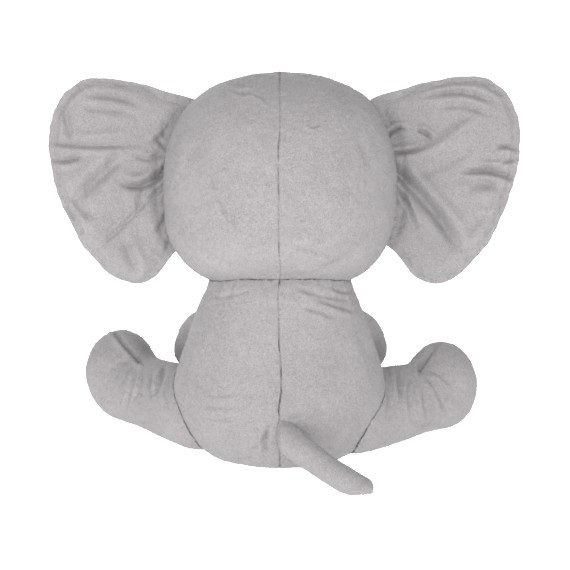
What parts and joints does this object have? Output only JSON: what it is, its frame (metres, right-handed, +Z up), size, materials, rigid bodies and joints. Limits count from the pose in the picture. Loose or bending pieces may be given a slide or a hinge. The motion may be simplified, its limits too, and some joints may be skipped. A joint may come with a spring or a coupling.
{
  "type": "stuffed elephant",
  "caption": "Seated plush elephant with a ball head, broad flat ears, stuffed trunk, arms, splayed legs and a plain tail.",
  "frame": {"origin": "centre of the flat seat panel, on the surface the toy sits on", "axes": "+Z up, -Y towards the toy's face, +X towards the toy's own left"},
  "size_m": [0.3505, 0.2676, 0.2879],
  "materials": {
    "plush": "short warm grey pile",
    "ear_lining": "short lighter grey pile",
    "pad_felt": "lighter grey felt",
    "fibre": "loose white polyester fibre",
    "muslin": "plain woven muslin",
    "eye_plastic": "polished black",
    "washer_plastic": "moulded white"
  },
  "bodies": {
    "torso": {"torso_cover_left": "plush", "torso_cover_right": "plush", "torso_cover_belly": "plush", "torso_seat_panel": "plush", "torso_stuffing": "fibre", "pellet_bag": "muslin"},
    "head": {"head_cover_left": "plush", "head_cover_right": "plush", "face_panel": "plush", "head_stuffing": "fibre", "eye_left": "eye_plastic", "eye_washer_left": "washer_plastic", "eye_right": "eye_plastic", "eye_washer_right": "washer_plastic"},
    "trunk": {"trunk_cover": "plush", "trunk_stuffing": "fibre", "trunk_end_disc": "pad_felt"},
    "tail": {"tail_cover": "plush", "tail_stuffing": "fibre"},
    "ear_left": {"ear_back_left": "plush", "ear_batting_left": "fibre", "ear_lining_left": "ear_lining"},
    "arm_left": {"arm_cover_left": "plush", "arm_stuffing_left": "fibre", "arm_pad_left": "pad_felt"},
    "leg_left": {"leg_cover_left": "plush", "leg_stuffing_left": "fibre", "leg_sole_left": "pad_felt"},
    "ear_right": {"ear_back_right": "plush", "ear_batting_right": "fibre", "ear_lining_right": "ear_lining"},
    "arm_right": {"arm_cover_right": "plush", "arm_stuffing_right": "fibre", "arm_pad_right": "pad_felt"},
    "leg_right": {"leg_cover_right": "plush", "leg_stuffing_right": "fibre", "leg_sole_right": "pad_felt"}
  },
  "joints": [
    {"name": "neck_nod", "type": "hinge", "parent": "torso", "child": "head", "pos_m": [0, 0.003, 0.141], "axis": [1, 0, 0], "range_deg": [-12, 12], "stiffness_Nm_per_rad": 3},
    {"name": "trunk_lift", "type": "hinge", "parent": "head", "child": "trunk", "pos_m": [0, -0.08, 0.176], "axis": [-1, 0, 0], "range_deg": [-10, 30], "stiffness_Nm_per_rad": 0.3},
    {"name": "tail_swing", "type": "hinge", "parent": "torso", "child": "tail", "pos_m": [-0.001, 0.06, 0.037], "axis": [0, 0, 1], "range_deg": [-20, 20], "stiffness_Nm_per_rad": 0.1},
    {"name": "ear_flap_left", "type": "hinge", "parent": "head", "child": "ear_left", "pos_m": [0.089, -0.0294, 0.2013], "axis": [0, -0.309, 0.9511], "range_deg": [-30, 30], "stiffness_Nm_per_rad": 0.1},
    {"name": "arm_lift_left", "type": "hinge", "parent": "torso", "child": "arm_left", "pos_m": [0.051, -0.04, 0.089], "axis": [-1, 0, 0], "range_deg": [0, 45], "stiffness_Nm_per_rad": 0.15},
    {"name": "leg_lift_left", "type": "hinge", "parent": "torso", "child": "leg_left", "pos_m": [0.07, -0.014, 0.0303], "axis": [-0.7193, -0.6947, 0], "range_deg": [0, 20], "stiffness_Nm_per_rad": 0.4},
    {"name": "ear_flap_right", "type": "hinge", "parent": "head", "child": "ear_right", "pos_m": [-0.089, -0.0294, 0.2013], "axis": [0, -0.309, 0.9511], "range_deg": [-30, 30], "stiffness_Nm_per_rad": 0.1},
    {"name": "arm_lift_right", "type": "hinge", "parent": "torso", "child": "arm_right", "pos_m": [-0.051, -0.04, 0.089], "axis": [-1, 0, 0], "range_deg": [0, 45], "stiffness_Nm_per_rad": 0.15},
    {"name": "leg_lift_right", "type": "hinge", "parent": "torso", "child": "leg_right", "pos_m": [-0.066, -0.004, 0.0303], "axis": [-0.6018, 0.7986, 0], "range_deg": [0, 20], "stiffness_Nm_per_rad": 0.4}
  ]
}
